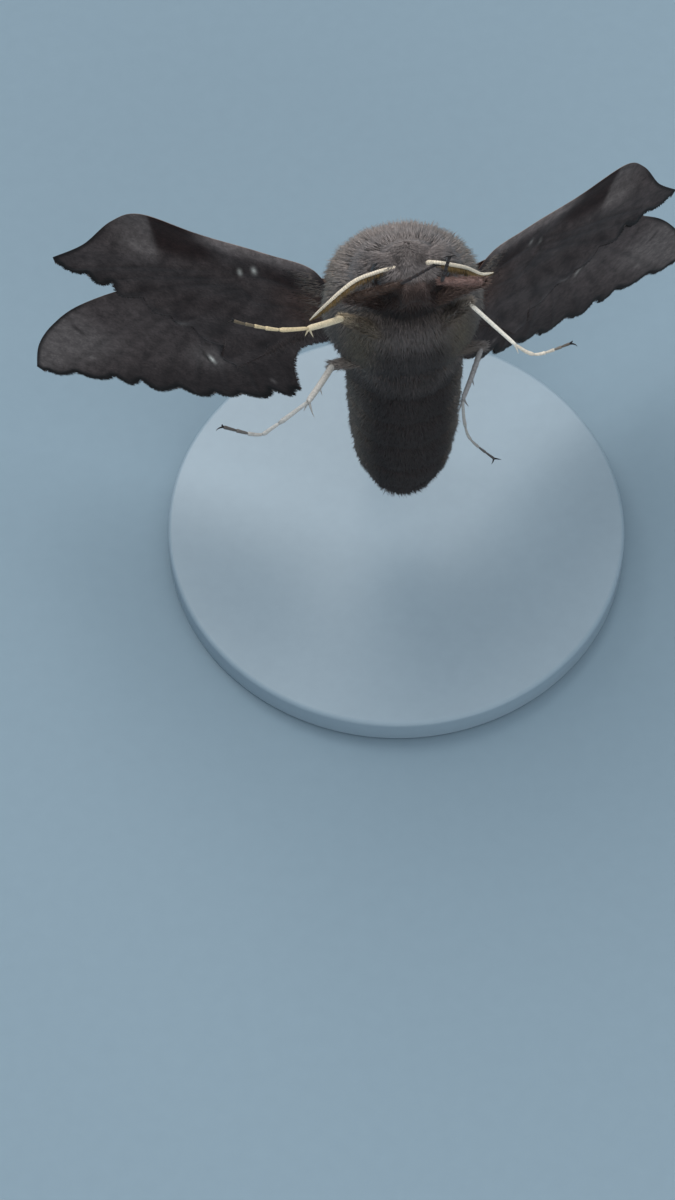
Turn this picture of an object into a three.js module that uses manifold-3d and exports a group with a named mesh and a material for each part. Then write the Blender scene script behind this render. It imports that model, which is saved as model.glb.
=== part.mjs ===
// A poplar hawk-moth at life size, head up, with its feet on an upright plane in front of it.
// Millimetres, +Z up. The belly faces -Y and the back faces +Y, so the moth's left is +X.
// The body solids reach to the tips of the coat, and a plain stand holds the moth from behind.
import * as THREE from 'three';
import { mergeVertices } from 'three/addons/utils/BufferGeometryUtils.js';
import Module from 'manifold-3d';

const wasm = await Module();
wasm.setup();

// ---------------------------------------------------------------- driving dimensions (mm)
const FOREWING_LENGTH = 41.2;
const HINDWING_LENGTH = 27.1;
const THORAX = { halfWidth: 6.75, back: 5.9, belly: 5.6, halfLength: 7.0, squareness: 2.3 };
const ABDOMEN = { halfWidth: 5.5, halfDepth: 5.2, length: 28.3, segments: 7, tipDroop: 0.5, sway: 0.45 };
const NECK = { centre: [0, -1.5, 6.3], radii: [4.7, 3.9, 3.0] };
const HEAD = { centre: [0, -2.6, 8.9], radii: [2.7, 2.5, 2.6] };
const EYE = { x: 2.2, y: -3.2, z: 9.1, radius: 1.25 };
const PALP = { x: 0.72, y: -4.9, z: 8.5, radii: [0.85, 1.15, 1.75], lean: 0.35 };
const ANTENNA = { halfWidth: 0.42, halfDepth: 0.28 };
const WING_THICKNESS = 0.6;
const WING_ARCH = 0.9;
const ARCH_SPAN = 34;
const FEMUR_RADIUS = 0.72;
const TIBIA_RADIUS = 0.5;
const TARSUS_RADIUS = 0.27;
const GAP = 0.3;
const NECK_CUT = 7.3;
const WAIST_CUT = -6.0;
const THORAX_HEIGHT = 40.0;
const STAND = { baseRadius: 22, baseThickness: 3, bevel: 0.5, rodRadius: 0.9, rodY: 10.5 };

// ---------------------------------------------------------------- materials
function material(color, roughness, metalness = 0) {
  return new THREE.MeshStandardMaterial({ color, roughness, metalness });
}

const furGrey = () => material(0x6e6862, 0.95);
const abdomenGrey = () => material(0x4b4745, 0.95);
const wingBrown = () => material(0x4a4340, 0.9);
const eyeBlack = () => material(0x120f0e, 0.15);
const shaftCream = () => material(0xcdbfa8, 0.8);
const legCream = () => material(0xb09a7c, 0.85);
const standPaint = () => material(0xa3b0ba, 0.6);
const rodSteel = () => material(0xa8a8a6, 0.35, 1);

// ---------------------------------------------------------------- solids
function weld(geometry) {
  const bare = geometry.clone();
  bare.deleteAttribute('normal');
  bare.deleteAttribute('uv');
  return mergeVertices(bare, 1e-4);
}

function signedVolume(geometry) {
  const corner = [new THREE.Vector3(), new THREE.Vector3(), new THREE.Vector3()];
  const { position } = geometry.attributes;
  let total = 0;
  for (let i = 0; i < geometry.index.count; i += 3) {
    corner.forEach((point, k) => point.fromBufferAttribute(position, geometry.index.getX(i + k)));
    total += corner[0].dot(corner[1].cross(corner[2])) / 6;
  }
  return total;
}

function facingOut(geometry) {
  const welded = weld(geometry);
  if (signedVolume(welded) < 0) {
    const index = welded.index.array;
    for (let i = 0; i < index.length; i += 3) {
      [index[i], index[i + 1]] = [index[i + 1], index[i]];
    }
  }
  return welded;
}

function solid(geometry) {
  const closed = facingOut(geometry);
  return new wasm.Manifold(new wasm.Mesh({
    numProp: 3,
    vertProperties: new Float32Array(closed.attributes.position.array),
    triVerts: new Uint32Array(closed.index.array),
  }));
}

function geometryOf(body) {
  const mesh = body.getMesh();
  const geometry = new THREE.BufferGeometry();
  geometry.setAttribute('position', new THREE.BufferAttribute(mesh.vertProperties, 3));
  geometry.setIndex(new THREE.BufferAttribute(mesh.triVerts, 1));
  return geometry;
}

function named(name, geometry, look) {
  const mesh = new THREE.Mesh(geometry, look);
  mesh.name = name;
  return mesh;
}

function mapped(geometry, shape) {
  const { position } = geometry.attributes;
  const point = new THREE.Vector3();
  for (let i = 0; i < position.count; i += 1) {
    point.fromBufferAttribute(position, i);
    shape(point);
    position.setXYZ(i, point.x, point.y, point.z);
  }
  return geometry;
}

function ellipsoid(centre, radii, grow = 0, around = 20, along = 14) {
  const ball = new THREE.SphereGeometry(1, around, along).rotateX(Math.PI / 2);
  ball.scale(radii[0] + grow, radii[1] + grow, radii[2] + grow);
  return ball.translate(...centre);
}

// ---------------------------------------------------------------- body
// The thorax is a blunt egg: deeper in the back, where the coat is longest, than in the belly.
function thoraxShape(grow) {
  const ball = new THREE.SphereGeometry(1, 26, 16).rotateX(Math.PI / 2);
  const { halfWidth, back, belly, halfLength, squareness } = THORAX;
  return mapped(ball, (p) => {
    const depth = (p.y > 0 ? back : belly) + grow;
    const reach = Math.abs(p.x / (halfWidth + grow)) ** squareness
      + Math.abs(p.y / depth) ** squareness
      + Math.abs(p.z / (halfLength + grow)) ** squareness;
    p.multiplyScalar(reach ** (-1 / squareness));
  });
}

// The abdomen ends in a blunt round tip, with a shallow step at the front of each segment, and sways
// a little to the moth's left.
function abdomenShape(grow) {
  const steps = [[0, 0.965], [0.35, 1], [0.8, 1]];
  const profile = [new THREE.Vector2(0, 0)];
  for (let segment = 0; segment < ABDOMEN.segments; segment += 1) {
    for (const [share, size] of steps) {
      const along = (segment + share) / ABDOMEN.segments;
      const taper = Math.sqrt(1 - along ** 6.5) * (1 - 0.08 * along);
      profile.push(new THREE.Vector2(size * taper * ABDOMEN.halfWidth + grow, along * ABDOMEN.length));
    }
  }
  profile.push(new THREE.Vector2(0, ABDOMEN.length + grow));
  const body = new THREE.LatheGeometry(profile, 24).rotateX(-Math.PI / 2);
  return mapped(body, (p) => {
    const along = Math.max(0, -p.z / ABDOMEN.length);
    p.x += ABDOMEN.sway * Math.sqrt(along);
    p.y *= ABDOMEN.halfDepth / ABDOMEN.halfWidth;
    p.y -= ABDOMEN.tipDroop * along * along;
  });
}

function wholeBody(grow) {
  return solid(thoraxShape(grow))
    .add(solid(abdomenShape(grow)))
    .add(solid(ellipsoid(NECK.centre, NECK.radii, grow)))
    .add(solid(ellipsoid(HEAD.centre, HEAD.radii, grow)));
}

function slab(low, high) {
  const reach = 60;
  return solid(new THREE.BoxGeometry(reach, reach, high - low).translate(0, 0, (low + high) / 2));
}

function eyeSolid(side, grow) {
  return solid(ellipsoid([side * EYE.x, EYE.y, EYE.z], [EYE.radius, EYE.radius, EYE.radius], grow, 12, 8));
}

const body = wholeBody(0);
const bodyClearance = wholeBody(GAP);
const eyeClearance = eyeSolid(-1, GAP).add(eyeSolid(1, GAP));
const TOP = 30;

function palpSolid(side) {
  const palp = ellipsoid([0, 0, 0], PALP.radii, 0, 12, 9);
  palp.rotateX(PALP.lean);
  return solid(palp.translate(side * PALP.x, PALP.y, PALP.z));
}

function makeBody() {
  const head = body.intersect(slab(NECK_CUT + GAP / 2, TOP)).subtract(eyeClearance);
  const thorax = body.intersect(slab(WAIST_CUT + GAP / 2, NECK_CUT - GAP / 2));
  const abdomen = body.intersect(slab(-TOP, WAIST_CUT - GAP / 2));
  const palps = palpSolid(-1).add(palpSolid(1)).subtract(bodyClearance).subtract(eyeClearance);
  return [
    named('head', geometryOf(head), furGrey()),
    named('thorax', geometryOf(thorax), furGrey()),
    named('abdomen', geometryOf(abdomen), abdomenGrey()),
    named('palps', geometryOf(palps), furGrey()),
    named('eye_right', geometryOf(eyeSolid(-1, 0)), eyeBlack()),
    named('eye_left', geometryOf(eyeSolid(1, 0)), eyeBlack()),
  ];
}

// ---------------------------------------------------------------- wings
// A wing lies in its own plane: s runs outward from its root and t runs forward.
const FOREWING = {
  root: [5.5, 2.5, 3.0],
  front: [[0, 0.3], [4, 1.9], [12, 3.7], [21, 4.9], [29, 5.3], [34, 4.4], [38, 2.7], [FOREWING_LENGTH, 0.2]],
  inner: [[0, -1.6], [3, -4.6], [7, -7.2], [11.6, -7.5], [14.4, -9.2], [16.5, -12.2]],
  outer: [[16.5, -12.2], [22, -11.9], [28, -9.6], [34, -5.4], [38, -2.9], [FOREWING_LENGTH, -0.6]],
  lobes: 8,
  rows: [12, 32],
};
const HINDWING = {
  root: [5.5, 1.3, -1.0],
  front: [
    [0, 1.5], [0.6, 3.9], [2.0, 5.3], [6, 5.8], [12, 6.9], [16.9, 8.2], [20.2, 6.4], [23.6, 2.8],
    [HINDWING_LENGTH, 0.2],
  ],
  inner: [[0, -1.6], [3, -4.4], [6.3, -7.3], [9.8, -10.8], [13.2, -14.3]],
  outer: [[13.2, -14.3], [14.8, -11.3], [18.6, -7.2], [22, -3.8], [25, -1.9], [HINDWING_LENGTH, -0.6]],
  lobes: 7,
  rows: [12, 28],
};
const LOBE_DEPTH = 0.75;
const WING_COLUMNS = 3;
// Each pair is raised off the back and tilted by a few degrees, and each wing is swept rearward.
// The left forewing sits a little lower than the right one, as the moth holds it.
const RIGHT_PAIR = { side: -1, raised: 26, tilt: 0 };
const LEFT_PAIR = { side: 1, raised: 28.8, tilt: 5.2 };
const WING_POSES = [
  { name: 'forewing_right', outline: FOREWING, swept: -44.2, shift: [0, 0.28, -0.3], ...RIGHT_PAIR },
  { name: 'forewing_left', outline: FOREWING, swept: -43.2, shift: [0, 0.3, -1.6], ...LEFT_PAIR },
  { name: 'hindwing_right', outline: HINDWING, swept: -9.6, shift: [0, 0.28, -0.3], ...RIGHT_PAIR },
  { name: 'hindwing_left', outline: HINDWING, swept: -16, shift: [0, 0.3, -0.8], ...LEFT_PAIR },
];

function margin(points) {
  return new THREE.SplineCurve(points.map(([s, t]) => new THREE.Vector2(s, t)));
}

// The front margin always runs outward, so one point of it lies at each s.
function pointAcross(curve, s) {
  let [low, high] = [0, 1];
  for (let i = 0; i < 30; i += 1) {
    const middle = (low + high) / 2;
    if (curve.getPoint(middle).x < s) low = middle;
    else high = middle;
  }
  return curve.getPoint(high);
}

// The outer margin is scalloped: round lobes that meet in narrow notches.
function outerPoint(curve, share, lobes) {
  const point = curve.getPointAt(share);
  const along = curve.getTangentAt(share);
  const bulge = LOBE_DEPTH * (Math.abs(Math.sin(Math.PI * lobes * share)) - 0.6);
  return point.add(new THREE.Vector2(along.y, -along.x).multiplyScalar(bulge));
}

function wingRows({ front, inner, outer, lobes, rows }) {
  const [frontCurve, innerCurve, outerCurve] = [front, inner, outer].map(margin);
  const list = [];
  for (let i = 0; i < rows[0]; i += 1) {
    const rear = innerCurve.getPointAt(i / rows[0]);
    list.push([rear, pointAcross(frontCurve, rear.x)]);
  }
  for (let i = 0; i <= rows[1]; i += 1) {
    const share = i / rows[1];
    const opposite = pointAcross(frontCurve, outerCurve.getPointAt(share).x);
    list.push([outerPoint(outerCurve, share, lobes), opposite]);
  }
  return list;
}

function wingSolid({ outline, side, raised, tilt, swept, shift }) {
  const rows = wingRows(outline);
  const sheet = new THREE.BoxGeometry(1, 1, 1, rows.length - 1, 1, WING_COLUMNS);
  const turn = THREE.MathUtils.degToRad(swept);
  mapped(sheet, (p) => {
    const [rear, front] = rows[Math.round((p.x + 0.5) * (rows.length - 1))];
    const spot = rear.clone().lerp(front, p.z + 0.5);
    const s = spot.x * Math.cos(turn) - spot.y * Math.sin(turn);
    const t = spot.x * Math.sin(turn) + spot.y * Math.cos(turn);
    const arch = WING_ARCH * (Math.sin(Math.PI * THREE.MathUtils.clamp(s / ARCH_SPAN, 0, 1)) - 0.6);
    p.set(side * s, p.y * WING_THICKNESS + arch, t);
  });
  sheet.rotateX(THREE.MathUtils.degToRad(tilt));
  sheet.rotateZ(side * THREE.MathUtils.degToRad(raised));
  sheet.translate(side * outline.root[0], outline.root[1], outline.root[2]);
  sheet.translate(...shift);
  return solid(sheet).subtract(bodyClearance);
}

function makeWings() {
  return WING_POSES.map((pose) => named(pose.name, geometryOf(wingSolid(pose)), wingBrown()));
}

// ---------------------------------------------------------------- legs and antennae
// Each leg leaves the belly at its hip, and its foot lies on the upright plane in front.
const LEGS = {
  leg_front_right: {
    hip: [-1.4, -4.9, 5.4], knee: [-5.5, -4.8, 8.4], ankle: [-1.5, -6.8, 12.5],
    foot: [[-0.4, -7.9, 15.0], [0.9, -9.0, 17.7]],
  },
  leg_front_left: {
    hip: [1.4, -4.9, 5.4], knee: [5.8, -5.5, 9.5], ankle: [2.0, -6.8, 12.2],
    foot: [[2.0, -8.0, 15.3], [2.1, -9.0, 18.6]],
  },
  leg_middle_right: {
    hip: [-1.9, -5.2, 0.8], knee: [-6.0, -5.0, 6.0], ankle: [-9.4, -8.0, 9.5],
    foot: [[-12.0, -8.5, 10.6], [-14.7, -9.0, 12.7], [-15.7, -9.0, 13.4]],
  },
  leg_middle_left: {
    hip: [1.9, -5.2, 0.8], knee: [4.8, -4.9, 5.8], ankle: [8.4, -8.2, 3.4],
    foot: [[10.1, -8.8, 2.5], [12.9, -9.0, 3.8]],
  },
  leg_hind_right: {
    hip: [-2.2, -5.3, -3.4], knee: [-6.6, -3.2, -3.6], ankle: [-9.5, -8.0, -1.6],
    foot: [[-12.7, -8.8, -3.7], [-14.1, -9.0, -4.2], [-17.0, -9.0, -2.3]],
  },
  leg_hind_left: {
    hip: [2.2, -5.3, -3.4], knee: [6.6, -3.2, -3.6], ankle: [4.1, -8.0, -4.3],
    foot: [[4.2, -8.6, -6.8], [4.8, -9.0, -9.4], [7.0, -9.0, -13.0]],
  },
};
const ANTENNA_PATHS = {
  antenna_right: [
    [-1.3, -3.5, 10.2], [-1.6, -4.0, 11.0], [-2.9, -4.1, 11.2], [-4.6, -4.3, 10.8],
    [-5.8, -4.6, 10.4], [-7.1, -4.8, 9.3], [-9.2, -4.6, 5.8],
  ],
  antenna_left: [
    [1.3, -3.5, 10.2], [1.6, -4.0, 11.0], [2.3, -4.1, 11.0], [3.2, -3.9, 10.3],
    [4.8, -3.2, 8.5], [6.4, -2.2, 5.9], [8.1, -1.0, 4.3],
  ],
};

function vectors(points) {
  return points.map((point) => new THREE.Vector3(...point));
}

// A limb segment is a spindle between two joints, and stops short of both by half the gap.
function spindle(from, to, radius, short = GAP / 2) {
  const length = from.distanceTo(to) - 2 * short;
  const bulge = [[0, 0], [0.03, 0.62], [0.3, 1], [0.7, 0.86], [0.97, 0.6], [1, 0]];
  const profile = bulge.map(([along, size]) => new THREE.Vector2(size * radius, along * length));
  const direction = to.clone().sub(from).normalize();
  const turn = new THREE.Quaternion().setFromUnitVectors(new THREE.Vector3(0, 1, 0), direction);
  const start = from.clone().addScaledVector(direction, short);
  return new THREE.LatheGeometry(profile, 8).applyQuaternion(turn).translate(...start.toArray());
}

function tube(points, halfWidth, halfDepth, sides, steps) {
  const section = new THREE.Shape(
    Array.from({ length: sides }, (_, i) => {
      const angle = (2 * Math.PI * i) / sides;
      return new THREE.Vector2(halfWidth * Math.cos(angle), halfDepth * Math.sin(angle));
    }),
  );
  const extrudePath = new THREE.CatmullRomCurve3(points);
  return facingOut(new THREE.ExtrudeGeometry(section, { steps, extrudePath, bevelEnabled: false }));
}

function makeLeg([name, { hip, knee, ankle, foot }]) {
  const [hipAt, kneeAt, ankleAt] = vectors([hip, knee, ankle]);
  const femur = solid(spindle(hipAt, kneeAt, FEMUR_RADIUS)).subtract(bodyClearance);
  const femurClearance = solid(spindle(hipAt, kneeAt, FEMUR_RADIUS + GAP, -GAP / 2));
  const tibia = solid(spindle(kneeAt, ankleAt, TIBIA_RADIUS)).subtract(femurClearance);
  const toes = vectors(foot);
  const start = ankleAt.clone().lerp(toes[0], (GAP + 0.1) / ankleAt.distanceTo(toes[0]));
  return [
    named(`${name}_femur`, geometryOf(femur), furGrey()),
    named(`${name}_tibia`, geometryOf(tibia), legCream()),
    named(`${name}_tarsus`, tube([start, ...toes], TARSUS_RADIUS, TARSUS_RADIUS, 6, 9), legCream()),
  ];
}

function makeAntenna([name, path]) {
  const { halfWidth, halfDepth } = ANTENNA;
  const feeler = solid(tube(vectors(path), halfWidth, halfDepth, 8, 18)).subtract(bodyClearance);
  return named(name, geometryOf(feeler), shaftCream());
}

// ---------------------------------------------------------------- stand
// A round plate and a bent rod, which ends against the coat low on the back.
function makeStand() {
  const { baseRadius, baseThickness, bevel, rodRadius, rodY } = STAND;
  const rim = [
    [0, 0], [baseRadius, 0], [baseRadius, baseThickness - bevel], [baseRadius - bevel, baseThickness],
    [0, baseThickness],
  ];
  const plate = new THREE.LatheGeometry(rim.map(([r, z]) => new THREE.Vector2(r, z)), 40);
  const route = vectors([
    [0, rodY, baseThickness + GAP], [0, rodY, 14], [0, rodY, 24], [0, rodY - 0.8, 30],
    [0, 8, 33.2], [0, 4.5, 34.6],
  ]);
  const rod = solid(tube(route, rodRadius, rodRadius, 10, 16))
    .subtract(bodyClearance.translate([0, 0, THORAX_HEIGHT]));
  return [
    named('stand_base', facingOut(plate.rotateX(Math.PI / 2)), standPaint()),
    named('stand_rod', geometryOf(rod), rodSteel()),
  ];
}

// ---------------------------------------------------------------- assembly
const moth = new THREE.Group();
moth.add(...makeBody(), ...makeWings());
moth.add(...Object.entries(LEGS).flatMap(makeLeg));
moth.add(...Object.entries(ANTENNA_PATHS).map(makeAntenna));
moth.position.z = THORAX_HEIGHT;

const model = new THREE.Group();
model.add(moth, ...makeStand());

export default model;
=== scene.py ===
import math
from functools import partial

import bpy
import numpy as np
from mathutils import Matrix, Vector
from mathutils.kdtree import KDTree


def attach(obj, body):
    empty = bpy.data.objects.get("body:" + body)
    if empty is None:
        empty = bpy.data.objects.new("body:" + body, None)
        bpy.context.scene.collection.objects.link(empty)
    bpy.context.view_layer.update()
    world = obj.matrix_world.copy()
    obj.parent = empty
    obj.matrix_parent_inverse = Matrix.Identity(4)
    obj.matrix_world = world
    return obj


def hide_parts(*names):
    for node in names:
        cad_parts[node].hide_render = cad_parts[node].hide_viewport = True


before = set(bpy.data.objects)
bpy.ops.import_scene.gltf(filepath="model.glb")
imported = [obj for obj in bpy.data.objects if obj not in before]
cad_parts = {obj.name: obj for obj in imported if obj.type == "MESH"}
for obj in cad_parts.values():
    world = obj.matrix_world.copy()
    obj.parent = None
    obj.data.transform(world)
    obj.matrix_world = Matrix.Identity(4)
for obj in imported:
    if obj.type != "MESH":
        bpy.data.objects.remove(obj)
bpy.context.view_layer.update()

# ---------------- body skin
# The hide of head, palps, thorax and abdomen: horn plates joined by soft skin, as one closed surface.
# It lies under the coat by the coat's depth, deepest on the back of the thorax and thinnest on the palps.
MM = 0.001
THORAX_HEIGHT = 40.0
SKIN_VOXEL = 0.25
SEAM_BRIDGE = 0.25
COAT_DEPTH = {"back": 0.62, "belly": 0.46, "abdomen": 0.44, "head": 0.4, "palps": 0.18}
BODY_NODES = ("head", "thorax", "abdomen", "palps")
WAIST_Z = -6.0
WELD_DISTANCE = 1e-6
HEAD_CENTRE = np.array([0.0, -2.6, 8.9])
PALP_Y = -5.0
EYES = {"right": np.array([-2.2, -3.2, 9.1]), "left": np.array([2.2, -3.2, 9.1])}
EYE_RADIUS = 1.25
SOCKET_REACH, SOCKET_FILL = 0.9, 0.92
ABDOMEN_LENGTH, ABDOMEN_SEGMENTS = 28.3, 7
GROOVE_DEPTH, GROOVE_WIDTH = 0.1, 0.09


def to_world(points):
    """Metres above the table from millimetres on the moth. Those start in the middle of its thorax, with
    +x to its left, -y out of its belly and +z to its head."""
    return (np.asarray(points, float) + [0, 0, THORAX_HEIGHT]) * MM


def smooth(low, high, value):
    """0 below low, 1 above high, and an even ramp between."""
    share = np.clip((np.asarray(value, float) - low) / (high - low), 0, 1)
    return share * share * (3 - 2 * share)


def peak(value, middle, width):
    """1 in the middle, falling to about a third at a width from it."""
    return np.exp(-(((value - middle) / width) ** 2))


def toward(value, target, share):
    """A value moved to a target by a share of the way."""
    return value + (target - value) * share


def gap(p, centre):
    """The distance of each place to a centre."""
    return np.linalg.norm(p - centre, axis=1)


def unit(vectors):
    return vectors / np.maximum(np.linalg.norm(vectors, axis=-1, keepdims=True), 1e-9)


def only(*objects):
    """Selects these objects and nothing else, with the first one active."""
    bpy.ops.object.select_all(action="DESELECT")
    for item in objects:
        item.select_set(True)
    bpy.context.view_layer.objects.active = objects[0]


def apply_modifier(item, kind, **settings):
    only(item)
    modifier = item.modifiers.new(kind.title(), kind)
    for name, value in settings.items():
        setattr(modifier, name, value)
    bpy.ops.object.modifier_apply(modifier=modifier.name)


def read(item):
    """A mesh's vertex places, in millimetres on the moth, and its vertex normals."""
    places, normals = np.zeros((2, len(item.data.vertices), 3))
    item.data.vertices.foreach_get("co", places.ravel())
    item.data.vertex_normals.foreach_get("vector", normals.ravel())
    return places / MM - [0, 0, THORAX_HEIGHT], normals


def write(item, points):
    item.data.vertices.foreach_set("co", to_world(points).ravel())
    item.data.update()


def place(item, material, slot, *nodes):
    """Gives a finished piece its material and fixes it to the model, instead of the CAD nodes named."""
    item.data.materials.clear()
    item.data.materials.append(material)
    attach(item, "root")
    if nodes:
        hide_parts(*nodes)


def linear(code):
    """An sRGB hex colour as linear red, green and blue."""
    values = [int(code[i : i + 2], 16) / 255 for i in (1, 3, 5)]
    return np.array([v / 12.92 if v <= 0.04045 else ((v + 0.055) / 1.055) ** 2.4 for v in values])


def coat_depth(p):
    """How far the skin lies under the tips of the coat, at places on the moth."""
    x, y, z = p.T
    depth = toward(COAT_DEPTH["belly"], COAT_DEPTH["back"], smooth(-2.5, 2, y))
    depth = toward(depth, COAT_DEPTH["abdomen"], smooth(WAIST_Z + 0.5, WAIST_Z - 2.5, z))
    depth = toward(depth, COAT_DEPTH["head"], smooth(3.6, 2.9, gap(p, HEAD_CENTRE)))
    return toward(depth, COAT_DEPTH["palps"], smooth(PALP_Y + 0.5, PALP_Y - 0.3, y) * smooth(6.0, 7.0, z))


def segment_groove(z):
    """1 in the middle of each joint between two rings of the abdomen, and 0 on the rings."""
    rings = -z / ABDOMEN_LENGTH * ABDOMEN_SEGMENTS
    return peak((rings + 0.5) % 1, 0.5, GROOVE_WIDTH) * smooth(WAIST_Z, WAIST_Z - 1.5, z)


copies = []
for node in BODY_NODES:
    copies.append(bpy.data.objects.new(node + "_copy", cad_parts[node].data.copy()))
    bpy.context.scene.collection.objects.link(copies[-1])
    copies[-1].data.materials.clear()
only(*copies)
bpy.ops.object.join()
bpy.ops.object.mode_set(mode="EDIT")
bpy.ops.mesh.select_all(action="SELECT")
bpy.ops.mesh.remove_doubles(threshold=WELD_DISTANCE)
bpy.ops.object.mode_set(mode="OBJECT")
skin = copies[0]
skin.name = skin.data.name = "body_skin"
apply_modifier(skin, "DISPLACE", strength=SEAM_BRIDGE * MM, mid_level=0)
apply_modifier(skin, "REMESH", mode="VOXEL", voxel_size=SKIN_VOXEL * MM, use_smooth_shade=True)
apply_modifier(skin, "SMOOTH", factor=0.5, iterations=6)
places, normals = read(skin)
sunk = SEAM_BRIDGE + coat_depth(places) + GROOVE_DEPTH * segment_groove(places[:, 2])
off_eyes = np.minimum(*(gap(places, eye) - EYE_RADIUS for eye in EYES.values()))
sunk = sunk * (1 - SOCKET_FILL * smooth(SOCKET_REACH, 0.4 * SOCKET_REACH, off_eyes))
write(skin, places - normals * sunk[:, None])
apply_modifier(skin, "SMOOTH", factor=0.5, iterations=8)

DOME_GREY = linear("#8e8684")
BACK_GREY = linear("#b4a598")
# Belly and abdomen greys: their own grey-brown, darkened in part as painted shade on the belly side.
BELLY_SHADED_GREY = linear("#6c6462")
ABDOMEN_SHADED_GREY = linear("#383232")
RING_GREY = linear("#292321")
# Painted rim light: the paler sides of the body, turned away from the belly.
FLANK_RIM_LIGHT = linear("#94897f")
FACE_GREY = linear("#928b8a")
# The throat's reddish brown, much darkened by painted shade under the head between the forelegs.
THROAT_BROWN_AND_SHADE = linear("#201412")
HIP_OLIVE = linear("#6c6252")
# Painted shade in the two small pits above the antenna bases, at FACE_PITS.
PIT_SHADE = linear("#2a2625")
PALP_BROWN = linear("#51433f")
FACE_PITS = ((-1.16, -3.18, 11.14), (0.84, -3.39, 11.22))


def layered(colour, *coats):
    """A colour with others laid over it in turn, each given with its share from 0 to 1 at each place."""
    for tone, share in coats:
        share = np.asarray(share, float)[:, None]
        colour = colour * (1 - share) + tone * share
    return colour


def body_colours(p):
    """Linear skin and coat colours at places on the moth: markings, painted shade and painted rim light."""
    x, y, z = p.T
    hips = peak(np.abs(x), 4.2, 1.8) * peak(y, -4.2, 1.6) * peak(z, 1.0, 5.0)
    rear = smooth(WAIST_Z + 1.5, WAIST_Z - 1.5, z)
    rings = 0.12 * segment_groove(z)
    # The abdomen's belly side is in its shaded grey, partly painted shade, and its back is lighter.
    abdomen = layered(ABDOMEN_SHADED_GREY, (BACK_GREY, 0.55 * smooth(0, 3.5, y)), (RING_GREY, rings))
    middle = smooth(2.6, 0.0, z) * smooth(4.0, 2.0, np.abs(x)) * smooth(-3.0, -4.5, y)
    turn = np.abs(np.arctan2(x - 0.35, -y))
    # Painted rim light on the sides of the body, strongest on the abdomen.
    rim_light = (0.25 + 0.45 * smooth(-6, -11, z)) * smooth(6, 3, z)
    # Painted shade under the head, between the forelegs, over the throat's own reddish brown.
    throat_shade = smooth(10.5, 9.4, z) * smooth(2.9, 5.0, z) * smooth(-3.3, -4.5, y) * smooth(5.2, 3.2, np.abs(x))
    return layered(
        BELLY_SHADED_GREY,
        (BACK_GREY, smooth(-2.5, 1.5, y)),
        (DOME_GREY, smooth(2.0, 6.5, z) * smooth(-4.2, -2.0, y)),
        (HIP_OLIVE, 0.8 * hips),
        (abdomen, rear),
        # The middle of the thorax's underside, between the legs, takes the abdomen's shaded grey.
        (ABDOMEN_SHADED_GREY, 0.8 * middle * (1 - rear)),
        (FLANK_RIM_LIGHT, rim_light * smooth(0.55, 1.5, turn) * smooth(2.2, 1.85, turn)),
        (FACE_GREY, 0.8 * smooth(4.2, 3.0, gap(p, HEAD_CENTRE)) * smooth(-2.0, -4.0, y)),
        (THROAT_BROWN_AND_SHADE, 0.95 * throat_shade),
        (PALP_BROWN, 0.7 * smooth(PALP_Y + 0.6, PALP_Y - 0.2, y) * smooth(6.0, 7.0, z)),
        # Painted shade in the pits above the antenna bases.
        *((PIT_SHADE, 0.95 * peak(gap(p, pit), 0, 0.48)) for pit in FACE_PITS),
    )


def paint(item, colours):
    """Stores a linear colour at each vertex, for the material to read."""
    layer = item.data.color_attributes.new("coat_tint", "FLOAT_COLOR", "POINT")
    layer.data.foreach_set("color", np.hstack([colours, np.ones((len(colours), 1))]).ravel())


def add_node(tree, kind, links=None, **settings):
    """Adds a shader node. A setting names a property or an input, and a link feeds an input."""
    made = tree.nodes.new(kind)
    for name, value in settings.items():
        if hasattr(made, name):
            setattr(made, name, value)
        else:
            label = name.replace("_", " ")
            next(s for s in made.inputs if s.name.lower() == label).default_value = value
    for name, source in (links or {}).items():
        tree.links.new(source, made.inputs[name])
    return made


def new_material(name, **settings):
    """A material with one Principled shader. Returns it with its node tree and its texture coordinates."""
    material = bpy.data.materials.new(name)
    material.use_nodes = True
    tree = material.node_tree
    for label, value in settings.items():
        tree.nodes["Principled BSDF"].inputs[label.replace("_", " ")].default_value = value
    return material, tree, add_node(tree, "ShaderNodeTexCoord").outputs["Object"]


def grain(tree, where, sizes, low, high, detail=3.0, ends=(0.3, 0.7)):
    """A noise of a real size, in millimetres along x, y and z, plain and spread from low to high."""
    scale = [1 / (size * MM) for size in sizes]
    fitted = add_node(tree, "ShaderNodeMapping", {"Vector": where}, scale=scale)
    noise = add_node(tree, "ShaderNodeTexNoise", {"Vector": fitted.outputs[0]}, scale=1.0, detail=detail)
    spread = add_node(
        tree, "ShaderNodeMapRange", {"Value": noise.outputs["Fac"]},
        from_min=ends[0], from_max=ends[1], to_min=low, to_max=high,
    )
    return noise.outputs["Fac"], spread.outputs[0]


def finish_shader(tree, colour, height=None, strength=0.0, depth=0.0):
    """Gives a material its colour, and bumps that follow height, depth millimetres deep."""
    shader = tree.nodes["Principled BSDF"]
    tree.links.new(colour, shader.inputs["Base Color"])
    if height:
        bumps = add_node(tree, "ShaderNodeBump", {"Height": height}, strength=strength, distance=depth * MM)
        tree.links.new(bumps.outputs[0], shader.inputs["Normal"])


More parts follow.
